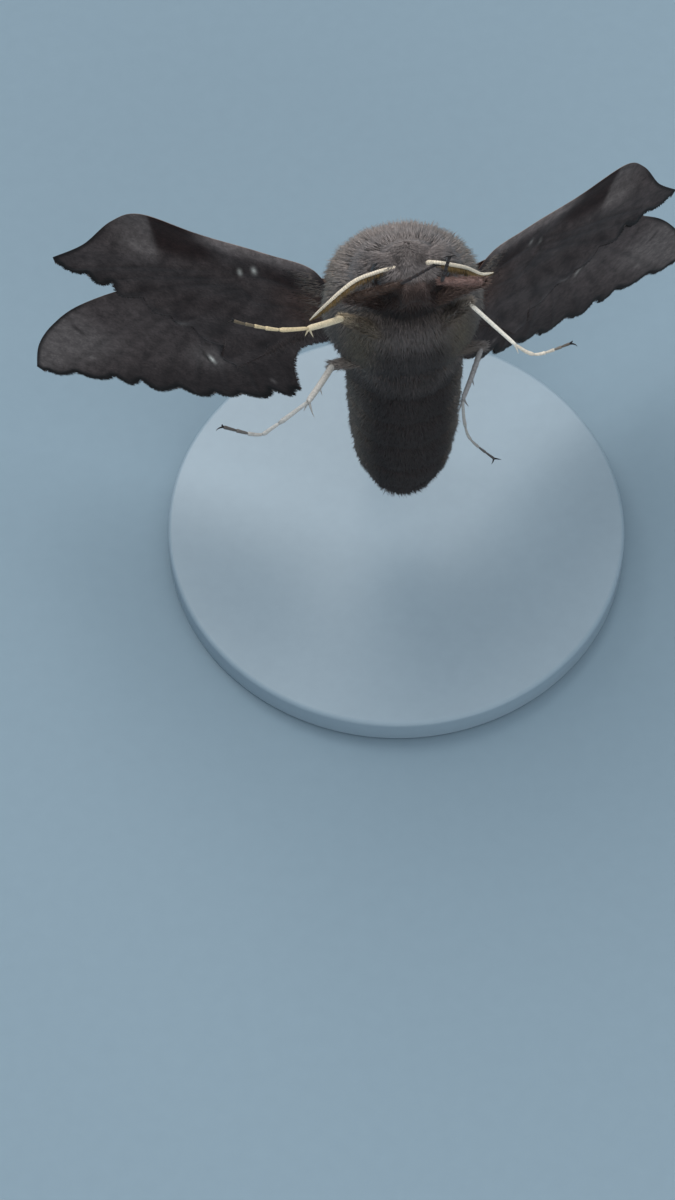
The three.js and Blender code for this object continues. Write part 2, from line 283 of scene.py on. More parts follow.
def shaded(tree, shade, colour=None, **bumps):
    """Colours a material with one colour, or else with the tint of each vertex, times a shade."""
    scaled = add_node(tree, "ShaderNodeVectorMath", {"Scale": shade}, operation="SCALE")
    if colour is None:
        tint = add_node(tree, "ShaderNodeAttribute", attribute_name="coat_tint")
        tree.links.new(tint.outputs["Color"], scaled.inputs["Vector"])
    else:
        scaled.inputs["Vector"].default_value = colour
    finish_shader(tree, scaled.outputs[0], **bumps)


# Hair scales on skin: matt, grey-brown, and finely streaked along the body, so that the skin between the
# tufts looks like the short under-coat and not like bare horn.
STREAK_WIDTH, STREAK_LENGTH = 0.12, 0.9
skin_hair, tree, where = new_material("under_coat_hair", Roughness=0.9, Specular_IOR_Level=0.08)
streaks, shade = grain(tree, where, (STREAK_WIDTH, STREAK_WIDTH, STREAK_LENGTH), 0.45, 1.05)
shaded(tree, shade, height=streaks, strength=0.6, depth=0.1)
paint(skin, body_colours(read(skin)[0]))
place(skin, skin_hair, "body_coat", *BODY_NODES)

# ---------------- body coat
# Hair scales in fine locks over head, thorax and abdomen. They grow from the skin, lie back along the
# body and overlap, longest and most lifted on the thorax and shortest on the face and palps.

# A lock is a thin closed solid of two rings, given by their place and width, and a pointed tip.
LOCK_RINGS = ((0.0, 0.85), (0.48, 1.0))
LOCK_FLATNESS = 0.45
LOCK_SINK = 0.12
# Colour factors at a lock's root ring, middle ring and tip: painted shade at the root, a lighter tip.
LOCK_PAINTED_SHADE = np.repeat([0.8, 0.98, 1.1], [3, 3, 1])
LOCK_FACES = np.array([(0, 2, 1)] + [
    face for a, b in ((0, 1), (1, 2), (2, 0))
    for face in ((a, b, b + 3), (a, b + 3, a + 3), (a + 3, b + 3, 6))
])
UV_PATCH = 0.003
LOCKS_PER_PIECE = 19000
draws = np.random.default_rng(20)

# Coat hair: matt, with a faint sheen. Each lock is painted darker at its root, as the shade among the
# locks, and lighter at its tip, and a fine mottle parts one hair from the next.
MOTTLE_SIZE = 0.35
coat_hair, tree, where = new_material(
    "coat_hair", Roughness=0.85, Sheen_Weight=0.04, Sheen_Roughness=0.5, Specular_IOR_Level=0.08,
)
shaded(tree, grain(tree, where, (MOTTLE_SIZE,) * 3, 0.78, 1.18, detail=2.0)[1])


def array_mesh(name, points, triangles):
    """A smooth-shaded object from arrays of places, in millimetres on the moth, and triangles."""
    mesh = bpy.data.meshes.new(name)
    mesh.from_pydata(to_world(points), [], triangles)
    mesh.shade_smooth()
    item = bpy.data.objects.new(name, mesh)
    bpy.context.scene.collection.objects.link(item)
    return item


def flattened(ways, normals):
    """Directions without their part along the normals."""
    return ways - normals * (ways * normals).sum(1, keepdims=True)


def grow_locks(name, slot, roots, normals, lays, lengths, widths, rises, curls, colours, unwrap):
    """Joined locks. rises is the angle off the skin at the root in radians, and curls bends the tip
    back to the skin, as a share of the length. unwrap is each root's place on a map of the skin."""
    count = len(roots)
    lays = unit(flattened(lays, normals))
    starts = unit(lays * np.cos(rises)[:, None] + normals * np.sin(rises)[:, None])
    across = unit(np.cross(normals, lays))
    roots = roots - normals * LOCK_SINK
    points = np.empty((count, 7, 3))
    for k, (along, size) in enumerate(LOCK_RINGS):
        bend = normals * (lengths * curls * along**2)[:, None]
        middle = roots + starts * (lengths * along)[:, None] - bend
        upward = np.cross(unit(starts - 2 * normals * (curls * along)[:, None]), across)
        for side in range(3):
            turn = 2 * math.pi * side / 3 + math.pi / 2
            offset = across * math.cos(turn) + upward * (LOCK_FLATNESS * math.sin(turn))
            points[:, 3 * k + side] = middle + offset * (0.5 * size * widths)[:, None]
    points[:, 6] = roots + starts * lengths[:, None] - normals * (lengths * curls)[:, None]
    spread = np.array([[k % 3 - 1.0, k // 3 - 1.0] for k in range(7)]) * (UV_PATCH / 2)
    pieces = max(1, math.ceil(count / LOCKS_PER_PIECE))
    for piece in range(pieces):
        chosen = slice(piece * count // pieces, (piece + 1) * count // pieces)
        total = chosen.stop - chosen.start
        triangles = (np.arange(total)[:, None, None] * 7 + LOCK_FACES).reshape(-1, 3)
        label = name if pieces == 1 else f"{name}_{piece + 1}"
        item = array_mesh(label, points[chosen].reshape(-1, 3), triangles)
        # Each lock is painted darker at its root, as shade, and lighter at its tip.
        paint(item, (colours[chosen][:, None] * LOCK_PAINTED_SHADE[None, :, None]).reshape(-1, 3))
        flat = (unwrap[chosen][:, None] + spread[None]).reshape(-1, 2)
        item.data.uv_layers.new(name="OFBake").data.foreach_set("uv", flat[triangles.ravel()].ravel())
        place(item, coat_hair, slot)


def scatter(item, density):
    """Random places on a mesh with their smooth normals. density gives how many to a square mm."""
    item.data.calc_loop_triangles()
    corners = np.zeros(len(item.data.loop_triangles) * 3, int)
    item.data.loop_triangles.foreach_get("vertices", corners)
    corners = corners.reshape(-1, 3)
    points, normals = read(item)
    a, b, c = (points[corners[:, k]] for k in range(3))
    areas = np.linalg.norm(np.cross(b - a, c - a), axis=1) / 2
    hits = draws.poisson(areas * density((a + b + c) / 3))
    chosen = np.repeat(np.arange(len(corners)), hits)
    first, second = draws.random((2, len(chosen)))
    flip = first + second > 1
    first[flip], second[flip] = 1 - first[flip], 1 - second[flip]
    weights = np.stack([1 - first - second, first, second], 1)[:, :, None]
    order = draws.permutation(len(chosen))
    chosen, weights = chosen[order], weights[order]
    places = (points[corners[chosen]] * weights).sum(1)
    return places, unit((normals[corners[chosen]] * weights).sum(1))


def ripple(p, size):
    """A slow random-looking field from -1 to 1, with waves about size mm long, in the plane or in space."""
    total = np.zeros(len(p))
    for k, turn in enumerate((0.3, 1.7, 2.9, 4.4)):
        way = np.array([math.cos(turn), math.sin(turn * 1.3), math.cos(2.1 * turn + 1)])
        total += np.sin(p @ way[: p.shape[1]] * (2 * np.pi / size) * (1 + 0.37 * k) + 5.1 * k)
    return total / 4


def body_unwrap(p):
    """A place on the body as its angle round it and its distance along it, both from 0 to 1."""
    x, y, z = p.T
    middle = -1.0 * smooth(4, 9, z)
    turn = np.arctan2(x, -(y - middle)) / (2 * np.pi) + 0.5
    radius = np.hypot(x, y - middle)
    crown = smooth(8, 11, z) * (1 - radius / 6)
    tail = smooth(-24, -28, z) * (1 - radius / 6)
    along = (z + 29 + 3 * crown - 3 * tail + 3) / 46
    return np.stack([0.02 + 0.96 * turn, 0.02 + 0.96 * np.clip(along, 0, 1)], 1)


def body_lay(p):
    """Which way the hair lies: back along the body, outwards at the tail and down over the face."""
    x, y, z = p.T
    flow = np.stack([0.10 * x, 0.45 * smooth(2, 6, z), -np.ones(len(p))], 1)
    tail = smooth(-24, -27, z)[:, None]
    flow = flow * (1 - 0.6 * tail) + tail * unit(p * [1, 1, 0]) * 0.5
    face = (smooth(4.4, 2.9, gap(p, HEAD_CENTRE)) * smooth(0.8, -1.2, y))[:, None]
    down = np.stack([0.45 * x, -0.75 + 0 * y, -0.65 + 0 * z], 1)
    return flow * (1 - face) + down * face


COAT_DENSITY = {"thorax": 100.0, "abdomen": 92.0, "head": 190.0}
HAIR_LENGTH = {"thorax": 1.5, "abdomen": 1.15, "head": 0.85, "palps": 0.42, "eye_rim": 1.2}
BACK_EXTRA, TAIL_EXTRA, BROW_EXTRA = 0.35, 0.25, 0.5
HAIR_RISE, RIM_RISE = 0.72, 0.85
CLUMP_SIZE, SWAY_SIZE = 1.6, 1.3


def body_density(p):
    """How many locks grow on a square mm at places on the moth. None grow on the eyes."""
    density = toward(COAT_DENSITY["thorax"], COAT_DENSITY["abdomen"], smooth(-5, -8, p[:, 2]))
    density = toward(density, COAT_DENSITY["head"], smooth(3.4, 2.9, gap(p, HEAD_CENTRE)))
    for eye in EYES.values():
        density = density * (gap(p, eye) > EYE_RADIUS + 0.03)
    return density


roots, normals = scatter(skin, body_density)
x, y, z = roots.T
count = len(roots)
on_abdomen = smooth(-5.0, -8.0, z)
on_head = smooth(3.5, 2.9, gap(roots, HEAD_CENTRE))
on_palps = smooth(PALP_Y + 0.7, PALP_Y + 0.1, y) * smooth(6.0, 7.0, z) * on_head
lengths = HAIR_LENGTH["thorax"] + BACK_EXTRA * smooth(-2.5, 2.0, y)
lengths = toward(lengths, HAIR_LENGTH["abdomen"], on_abdomen) + TAIL_EXTRA * smooth(-24, -27.5, z)
lengths = toward(toward(lengths, HAIR_LENGTH["head"], on_head), HAIR_LENGTH["palps"], on_palps)
clump = ripple(roots, CLUMP_SIZE)
lengths = lengths * (1 + 0.16 * clump) * draws.uniform(0.75, 1.2, count)
flatter = on_abdomen + on_head + smooth(0, -3, y) * (1 - on_abdomen) * (1 - on_head)
rises = np.clip(HAIR_RISE - 0.2 * flatter + 0.10 * clump + draws.normal(0, 0.10, count), 0.12, 1.2)
curls = 0.24 * np.sin(rises) + draws.normal(0, 0.04, count)
widths = (0.098 - 0.028 * on_head) * draws.uniform(0.75, 1.25, count)
lays = body_lay(roots)
for eye in EYES.values():
    rim = smooth(EYE_RADIUS + 0.7, EYE_RADIUS + 0.25, gap(roots, eye))
    lays = lays * (1 - rim[:, None]) + unit(eye - roots) * rim[:, None]
    lengths = toward(lengths, HAIR_LENGTH["eye_rim"] + BROW_EXTRA * smooth(-0.3, 0.6, z - eye[2]), rim)
    rises = toward(rises, RIM_RISE, rim)
# Where the hair would part in a star on top of the head, it is shorter and lies every way.
level = flattened(lays, normals)
crown = smooth(0.5, 0.15, np.linalg.norm(level, axis=1)) * on_head
lays = lays + crown[:, None] * draws.normal(0, 0.3, lays.shape)
rises = rises + 0.15 * crown
lengths = lengths * (1 - 0.25 * crown)
for pit in FACE_PITS:
    lengths = lengths * (1 - 0.6 * peak(gap(roots, pit), 0, 0.5))
sway = np.cross(normals, lays) * (0.22 * ripple(roots + 7, SWAY_SIZE) + draws.normal(0, 0.16, count))[:, None]
# The locks at the crown are painted lighter, against the shade where the hair parts.
tints = body_colours(roots) * (draws.normal(1.0, 0.09, count) * (1 + 0.08 * clump + 0.15 * crown))[:, None]
# The locks over the pits are painted dark, as the shade in the hollows.
middles = roots + 0.6 * lengths[:, None] * unit(level)
tints = layered(tints, *((PIT_SHADE, 0.9 * peak(gap(middles, pit), 0, 0.42)) for pit in FACE_PITS))
grow_locks(
    "coat_body", "body_coat", roots, normals, lays + sway, lengths, widths, rises, curls,
    np.clip(tints, 0.005, 1), body_unwrap(roots),
)

# ---------------- eyes
# Two large round compound eyes, dark brown and shiny, set in the sides of the head. Each is a ball of
# fine six-sided facets with its inner half in the skin.
FACET_SIZE, EYE_INSET = 0.07, 0.02
FACET_BROWN, FACET_EDGE = linear("#24160f"), linear("#080403")

# Eye horn: a dark, clear-coated horn with sharp small highlights, dimpled between its facets.
eye_horn, tree, where = new_material("eye_facets", Roughness=0.35, Coat_Weight=0.45, Coat_Roughness=0.06)
facets = add_node(tree, "ShaderNodeTexVoronoi", {"Vector": where}, scale=1 / (FACET_SIZE * MM))
ramp = add_node(tree, "ShaderNodeValToRGB", {"Fac": facets.outputs["Distance"]})
ramp.color_ramp.elements[0].color = (*FACET_BROWN, 1)
ramp.color_ramp.elements[1].color = (*FACET_EDGE, 1)
finish_shader(tree, ramp.outputs[0], facets.outputs["Distance"], strength=0.35, depth=-0.02)
for side, centre in EYES.items():
    bpy.ops.mesh.primitive_ico_sphere_add(
        subdivisions=5, radius=(EYE_RADIUS - EYE_INSET) * MM, location=to_world(centre),
    )
    eye = bpy.context.object
    eye.name = eye.data.name = f"eye_{side}_ball"
    bpy.ops.object.transform_apply(location=True, rotation=True, scale=True)
    bpy.ops.object.shade_smooth()
    place(eye, eye_horn, "eye", f"eye_{side}")

# ---------------- wings
# Four thin sheets stretched over veins and covered with flat scales. The hindwing lies on the belly side
# of the forewing and juts out ahead of it, as this species rests, and the outer edges are scalloped.

# On a wing, s runs outward from its root and t runs forward, in millimetres. A wing's side is -1 on the
# moth's right and 1 on its left, where the inner margins are spread further back beside the thorax.
WING_OUTLINES = {
    "forewing": {
        "front": ((0, -1.3), (4, 0.3), (12, 3.4), (21, 4.9), (29, 5.3), (34, 4.4), (38, 2.7), (41.2, 0.2)),
        "inner": {
            -1: ((0, -1.6), (3, -4.6), (7, -7.2), (11.6, -7.5), (14.4, -9.2), (16.5, -12.2)),
            1: ((0, -2.6), (3, -5.9), (7, -8.8), (11, -10.7), (14, -11.9), (16.5, -12.4)),
        },
        "outer": ((16.5, -12.2), (22, -11.9), (28, -9.6), (34, -5.4), (38, -2.9), (41.2, -0.6)),
        "lobes": 8, "lobe_depth": 1.0, "cell": (17.0, 1.2), "root": (5.5, 2.5, 3.0),
    },
    "hindwing": {
        "front": (
            (0, 1.5), (0.6, 3.9), (2.0, 5.3), (6, 5.8), (12, 6.9), (16.9, 8.2), (20.2, 6.4), (23.6, 2.8),
            (27.1, 0.2),
        ),
        "inner": {
            -1: ((0, -1.6), (3, -4.4), (6.3, -7.3), (9.0, -9.9), (11.8, -12.4)),
            1: ((0, -2.6), (3, -5.7), (6.3, -7.9), (9.0, -9.9), (11.8, -12.4)),
        },
        "outer": ((11.8, -12.4), (13.6, -9.6), (17.6, -6.2), (21.6, -3.7), (25, -1.9), (27.1, -0.6)),
        "lobes": 7, "lobe_depth": 1.1, "cell": (9.5, 0.8), "root": (5.5, 1.3, -1.0),
    },
}
WING_POSES = {
    "forewing_right": {
        "side": -1, "raised": 26.0, "tilt": 0.0, "swept": -44.2, "shift": (0, 0.28, -0.3),
        "marks": {"comma": (22.3, -5.9), "white": 1.0},
    },
    "forewing_left": {
        "side": 1, "raised": 28.8, "tilt": 5.2, "swept": -43.2, "shift": (0, 0.3, -1.6),
        "marks": {"comma": (24.5, -2.1), "white": 0.45},
    },
    "hindwing_right": {
        "side": -1, "raised": 26.0, "tilt": 0.0, "swept": -9.6, "shift": (0, 0.28, -0.3),
        "marks": {"white": 0.8},
    },
    "hindwing_left": {
        "side": 1, "raised": 28.8, "tilt": 5.2, "swept": -16.0, "shift": (0, 0.3, -0.8),
        "marks": {"white": 0.2},
    },
}
WING_ARCH = 0.9
ARCH_SPAN = 34.0
INNER_ROWS, OUTER_ROWS, WING_COLUMNS = 44, 150, 96
FAN_SHARE = 0.5
MEMBRANE = 0.14
EDGE_THICKNESS = 0.05
VEIN_RISE = 0.12
VEIN_WIDTH = 0.34


def margin(points, steps=60):
    """A smooth curve through points, as a fine polyline."""
    points = np.array(points, float)
    spread = np.concatenate([points[:1], points, points[-1:]])
    share = np.linspace(0, 1, steps, endpoint=False)[:, None]
    parts = []
    for p0, p1, p2, p3 in zip(spread, spread[1:], spread[2:], spread[3:]):
        v0, v1 = (p2 - p0) / 2, (p3 - p1) / 2
        cubic = 2 * p1 - 2 * p2 + v0 + v1
        square = 3 * p2 - 3 * p1 - 2 * v0 - v1
        parts.append(cubic * share**3 + square * share**2 + v0 * share + p1)
    return np.concatenate([*parts, points[-1:]])


def arc_lengths(curve):
    """The length of a polyline up to each of its corners."""
    return np.concatenate([[0], np.cumsum(np.linalg.norm(np.diff(curve, axis=0), axis=1))])


def at_share(curve, share):
    """Points at shares of a polyline's length."""
    lengths = arc_lengths(curve)
    want = np.asarray(share, float) * lengths[-1]
    return np.stack([np.interp(want, lengths, curve[:, k]) for k in range(curve.shape[1])], -1)


def heading(curve, share, reach):
    """Directions along a polyline at shares of its length, each taken over reach to both sides."""
    return unit(at_share(curve, np.clip(share + reach, 0, 1)) - at_share(curve, np.clip(share - reach, 0, 1)))


def turned(a, b, angle):
    """A pair of coordinates turned by an angle in degrees."""
    sine, cosine = math.sin(math.radians(angle)), math.cos(math.radians(angle))
    return a * cosine - b * sine, a * sine + b * cosine


def lobe_phase(share, lobes):
    """Counts the lobes along the outer margin. It is whole at each notch, and the lobes differ in size."""
    return lobes * share + 0.16 * np.sin(2 * np.pi * lobes * share / 2.7) * np.sin(np.pi * share)


def scalloped(wing):
    """The outer margin, whose uneven round lobes meet in narrow notches."""
    curve, lobes = margin(wing["outer"]), wing["lobes"]
    share = np.linspace(0, 1, OUTER_ROWS + 1)
    along = heading(curve, share, 1e-4)
    depth = wing["lobe_depth"] * (1 + 0.35 * np.sin(11.0 * share + lobes))
    bulge = depth * (np.abs(np.sin(np.pi * lobe_phase(share, lobes))) - 0.6)
    bulge = bulge * smooth(0, 0.05, share) * smooth(1, 0.98, share)
    return at_share(curve, share) + np.stack([along[:, 1], -along[:, 0]], 1) * bulge[:, None]


def wing_grid(wing):
    """(rows, columns, 2) places on the flat wing, from the rear or outer margin to the front margin.
    The rows fan out from the front margin, so that they don't cross at the wing's rear corner."""
    front, inner = margin(wing["front"]), margin(wing["inner"][wing["side"]])
    corner, tip = FAN_SHARE * wing["outer"][0][0], wing["outer"][-1][0]
    steps = np.arange(INNER_ROWS) / INNER_ROWS
    base = np.concatenate([corner * steps, corner + (tip - corner) * np.linspace(0, 1, OUTER_ROWS + 1)])
    rear = np.concatenate([at_share(inner, steps), scalloped(wing)])
    ahead = np.stack([base, np.interp(base, front[:, 0], front[:, 1])], 1)
    across = np.linspace(0, 1, WING_COLUMNS)[None, :, None]
    return rear[:, None] * (1 - across) + ahead[:, None] * across


def wing_surface(flat, wing, lift=0.0):
    """Places on the moth of places on the flat wing, lift above the wing's middle to the back."""
    side = wing["side"]
    s, t = turned(*flat.T, wing["swept"])
    arch = WING_ARCH * (np.sin(np.pi * np.clip(s / ARCH_SPAN, 0, 1)) - 0.6) + lift
    y, z = turned(arch, t, wing["tilt"])
    x, y = turned(side * s, y, side * wing["raised"])
    return np.stack([x, y, z], 1) + (np.array(wing["root"]) * [side, 1, 1] + wing["shift"])


def wing_fold(flat, lobes):
    """How far the wing's shallow pleats rise above its arch."""
    angle = np.arctan2(flat[:, 1] + 2, flat[:, 0] + 2)
    return 0.14 * np.cos(2.2 * lobes * angle) * smooth(4, 14, flat[:, 0])


def wing_veins(wing):
    """The veins of a wing as fine polylines: two from the root round the cell, and one to each lobe."""
    cell = np.array(wing["cell"])
    front, rear = cell + [0, 1.5], cell - [1.5, 2.6]
    veins = [
        margin([(0, 0.2), front * [0.5, 0.75] + [0, 0.4], front]),
        margin([(0, -0.3), rear * [0.5, 0.55], rear]),
        margin([front, cell + [-0.5, 0], rear]),
        margin(wing["front"]) + [0, -0.25],
    ]
    lobes = wing["lobes"]
    for k, end in enumerate(at_share(margin(wing["outer"]), (np.arange(lobes) + 0.5) / lobes)):
        share = k / (lobes - 1)
        start = rear * (1 - share) + front * share if k > 0 else np.array([0.0, -0.8])
        middle = start * 0.45 + end * 0.55 + np.array([0, 0.5 * (share - 0.3)])
        veins.append(margin([start, middle, end]))
    return veins


def distance_to(flat, lines):
    """Each place's distance to the nearest of some polylines."""
    corners = np.concatenate(lines)
    tree = KDTree(len(corners))
    for k, corner in enumerate(corners):
        tree.insert((*corner, 0), k)
    tree.balance()
    return np.array([tree.find((*spot, 0))[2] for spot in flat])


UNDER_GREY = linear("#4f4645")
UNDER_DARK = linear("#272020")
UNDER_BROWN = linear("#221615")
UNDER_PALE = linear("#6c6462")
# A painted highlight along the hindwing's front margin near its root.
COSTA_HIGHLIGHT = linear("#716765")
ROOT_RUFOUS = linear("#4c3831")
EDGE_DARK = linear("#151212")
SPOT_WHITE = linear("#c6c2bb")
UPPER_GREY = linear("#8b827c")
UPPER_BAND = linear("#5f534c")
UPPER_PALE = linear("#aaa198")
UPPER_RUFOUS = linear("#8c4a32")


def spot(flat, centre, size, turn=0.0):
    """1 at the middle of a soft oval and 0 well outside it. size is its two half axes."""
    along, off = turned(*(flat - centre).T, -turn)
    return peak(along, 0, size[0]) * peak(off, 0, size[1])


def edge_line(flat, rim, costa, start):
    """How dark the narrow line along the margins is. It fades on the front margin inside start."""
    # The line is partly the scales' own dark colour and partly painted shade of the backlit outline.
    line = 0.97 * smooth(0.95, 0.25, rim)
    return np.maximum(line, 0.85 * smooth(0.5, 0.1, costa) * smooth(start, start + 3, flat[:, 0]))


def forewing_colours(flat, rim, costa, under, comma, white):
    """Colours at places on the forewing. rim and costa are their distances to its outer and front margins."""
    s, t = flat.T
    wave = s + 0.35 * np.sin(1.5 * t) + 0.012 * t * t
    cloud = ripple(flat, 5.0)
    edge = (EDGE_DARK, edge_line(flat, rim, costa, 27))
    if under:
        return layered(
            UNDER_GREY,
            (UNDER_DARK, 0.45 + 0.3 * cloud),
            (UNDER_DARK, 0.75 * smooth(7.0, 1.0, rim) * smooth(-2, -6, t)),
            (UNDER_GREY, 0.7 * spot(flat, (29, 0.5), (7, 5))),
            (UNDER_PALE, 0.62 * smooth(28.0, 33, s) * smooth(-3.5, 1.0, t)),
            (UNDER_DARK, 0.7 * spot(flat, (32.2, 2.9), (0.25, 1.2), 12)),
            (UNDER_DARK, 0.5 * spot(flat, (28.4, 3.3), (0.4, 0.9), 20)),
            (UNDER_PALE, 0.6 * white * spot(flat, np.array(comma) + (0.0, 0.4), (2.2, 1.6), 25)),
            (EDGE_DARK, 0.9 * white * spot(flat, np.array(comma) + (0.34, 0.3), (0.8, 0.2), 105)),
            (SPOT_WHITE, white * spot(flat, comma, (0.5, 0.2), 105)),
            (UNDER_PALE, 0.8 * spot(flat, (34.7, -1.2), (0.4, 0.3))),
            (UNDER_PALE, 0.6 * spot(flat, (18.6, -10.6), (0.3, 0.3))),
            (ROOT_RUFOUS, 0.5 * smooth(9, 2, s)),
            edge,
        )
    return layered(
        UPPER_GREY,
        (UPPER_BAND, 0.9 * smooth(10.5, 12, wave) * smooth(21.5, 20, wave)),
        (UPPER_PALE, 0.7 * peak(wave, 22.6, 1.1)),
        (UPPER_BAND, 0.7 * peak(wave, 26.5, 0.8)),
        (UPPER_PALE, 0.5 * smooth(29, 35, s) * smooth(-2, 2, t)),
        (UPPER_BAND, 0.6 * smooth(5.5, 1.5, rim) * smooth(0, -6, t)),
        (UPPER_BAND, 0.5 * peak(wave, 5.5, 0.7)),
        (UPPER_BAND, 0.25 + 0.2 * cloud),
        (SPOT_WHITE, 0.9 * spot(flat, (17.6, 1.0), (0.35, 0.9), 10)),
        edge,
    )


def hindwing_colours(flat, rim, costa, under, white):
    """Colours at places on the hindwing, whose edge is dark only where it juts out past the forewing."""
    s, t = flat.T
    wave = s + 0.3 * np.sin(1.4 * t)
    cloud = ripple(flat, 4.0)
    # Its edge line, partly painted outline shade, shows only where the hindwing juts out past the forewing.
    edge = (EDGE_DARK, edge_line(flat, rim, costa, 17) * smooth(19, 23, s))
    if under:
        shadow = smooth(2.0, 3.2, s) * smooth(8.0, 5.5, s) * spot(flat, (5.0, 2.8), (3.5, 1.0), 12)
        return layered(
            UNDER_GREY,
            (UNDER_DARK, 0.62 + 0.3 * cloud),
            (UNDER_BROWN, 0.95 * smooth(9.8, 12.2, s) * smooth(16.7, 16.1, s) * smooth(2.0, 4.2, t)),
            (UNDER_PALE, 0.45 * smooth(16.0, 16.9, s) * smooth(22.0, 17.5, s) * smooth(-0.5, 4.5, t)),
            (UNDER_PALE, 0.6 * spot(flat, (17.8, 3.7), (1.6, 0.8), 20)),
            (UNDER_GREY, 0.6 * spot(flat, (22.8, 2.4), (2.2, 1.6))),
            (UNDER_DARK, 0.4 * peak(wave, 16.2, 0.45) * smooth(4, -1, t)),
            # Painted highlight along the front margin near the root.
            (COSTA_HIGHLIGHT, 0.95 * smooth(0.5, 2.0, s) * smooth(13.5, 9.5, s) * smooth(3.2, 4.8, t - 0.12 * s)),
            (UNDER_BROWN, 0.8 * shadow),
            (SPOT_WHITE, 0.9 * white * spot(flat, (8.7, 2.3), (0.2, 0.4), 10)),
            (SPOT_WHITE, white * spot(flat, (7.2, 3.0), (0.22, 0.48), 10)),
            (UNDER_DARK, 0.7 * spot(flat, (15.3, -6.0), (1.3, 0.25), -35)),
            (UNDER_PALE, 0.6 * spot(flat, (16.2, -7.2), (0.9, 0.35), -35)),
            (ROOT_RUFOUS, 0.85 * smooth(8.0, 1.0, s) * smooth(2.5, 0.5, t) * smooth(-7, -2, t)),
            edge,
        )
    return layered(
        UPPER_GREY,
        (UPPER_BAND, 0.7 * peak(wave, 12.0, 1.3)),
        (UPPER_BAND, 0.6 * peak(wave, 18.0, 0.9)),
        (UPPER_PALE, 0.5 * peak(wave, 15.2, 1.1)),
        (UPPER_BAND, 0.25 + 0.2 * cloud),
        (UPPER_RUFOUS, 0.9 * smooth(9.5, 5.0, s - 0.35 * t) * smooth(4.5, 2.5, t)),
        edge,
    )


# Wing scales: dull powdery plates in rows, brownest on the underside, with a faint silky sheen. The real
# plates are 0.1 mm long and are drawn twice that, so that their rows show.
SCALE_LENGTH = 0.2
POWDER_SIZE = 0.8
wing_scales, tree, where = new_material(
    "wing_scales", Roughness=0.8, Sheen_Weight=0.04, Sheen_Roughness=0.5, Specular_IOR_Level=0.1,
)
plates = add_node(tree, "ShaderNodeTexVoronoi", {"Vector": where}, scale=1 / (SCALE_LENGTH * MM))
speckle = add_node(tree, "ShaderNodeMapRange", {"Value": plates.outputs["Color"]}, to_min=0.78, to_max=1.22)
powder = grain(tree, where, (POWDER_SIZE,) * 3, 0.72, 1.25, detail=6.0)[1]
shade = add_node(tree, "ShaderNodeMath", {0: speckle.outputs[0], 1: powder}, operation="MULTIPLY")
shaded(tree, shade.outputs[0], height=plates.outputs["Distance"], strength=0.5, depth=-0.03)

WING_OUTLINES["forewing"]["colours"] = forewing_colours
WING_OUTLINES["hindwing"]["colours"] = hindwing_colours
wings = []
for name, pose in WING_POSES.items():
    wing = {"name": name, **WING_OUTLINES[name.split("_")[0]], **pose}
    mark = partial(wing["colours"], **wing["marks"])
    grid = wing_grid(wing)
    wings.append((wing, mark, grid))
    rows, columns = grid.shape[:2]
    flat = grid.reshape(-1, 2)
    rim = distance_to(flat, [grid[INNER_ROWS:, 0], grid[-1]])
    costa = distance_to(flat, [grid[:, -1]])
    edge = np.minimum(np.minimum(rim, costa), distance_to(flat, [grid[:INNER_ROWS, 0]]))
    ridge = peak(distance_to(flat, wing_veins(wing)), 0, VEIN_WIDTH) * smooth(0.1, 0.8, edge)
    thick = toward(EDGE_THICKNESS, MEMBRANE, smooth(0, 0.8, edge)) + VEIN_RISE * ridge
    bpy.ops.object.select_all(action="DESELECT")
    bpy.ops.mesh.primitive_grid_add(x_subdivisions=columns - 1, y_subdivisions=rows - 1, size=2)
    sheet = bpy.context.object
    sheet.name = sheet.data.name = name + "_sheet"
    write(sheet, wing_surface(flat, wing, wing_fold(flat, wing["lobes"])))
    if wing["side"] > 0:
        sheet.data.flip_normals()
    weight = sheet.vertex_groups.new(name="thickness")
    for k, share in enumerate(thick / thick.max()):
        weight.add([k], share, "REPLACE")
    apply_modifier(sheet, "SOLIDIFY", thickness=thick.max() * MM, offset=0, vertex_group="thickness")
    bpy.ops.object.shade_smooth()
    faces = [mark(flat, rim, costa, under) * (1 - 0.2 * ridge)[:, None] for under in (True, False)]
    paint(sheet, np.concatenate(faces))
    place(sheet, wing_scales, "wing", name)

# ---------------- wing hair
# Long soft hair where the wings join the thorax, on both of their faces, and a short fringe of dark
# scales along the margins, whitish in the notches. It grows out of the wing sheets.
ROOT_HAIR_REACH, ROOT_HAIR_SPREAD = 5.5, 4.5
ROOT_HAIRS, INNER_HAIRS = 1300, 800
FRINGE_TO_MM = 30
FRINGE_LENGTH, FRINGE_SINK = 0.42, 0.12
NOTCH_WIDTH = 0.28
STEP = 0.05
# The hair has the wing's colours as they are this far off the edges.
FAR_OFF = 5.0


def wing_frame(flat, wing):
    """Places on a wing, with its upper side's normal and its outward and forward directions there."""
    lift = wing_fold(flat, wing["lobes"])
    spots = wing_surface(flat, wing, lift)
    outward = unit(wing_surface(flat + [STEP, 0], wing, lift) - spots)
    forward = unit(wing_surface(flat + [0, STEP], wing, lift) - spots)
    return spots, unit(wing_surface(flat, wing, lift + STEP) - spots), outward, forward


def in_cell(cell, u, v):
    """Places on one of 16 square cells of a texture map, from u and v that run from 0 to 1."""
    return np.stack([(cell % 4 + 0.06 + 0.88 * u) / 4, (cell // 4 + 0.06 + 0.88 * v) / 4], 1)


def either_side(above):
    """Normals that point up or down by chance."""
    return above * np.where(draws.random(len(above)) < 0.5, 1.0, -1.0)[:, None]


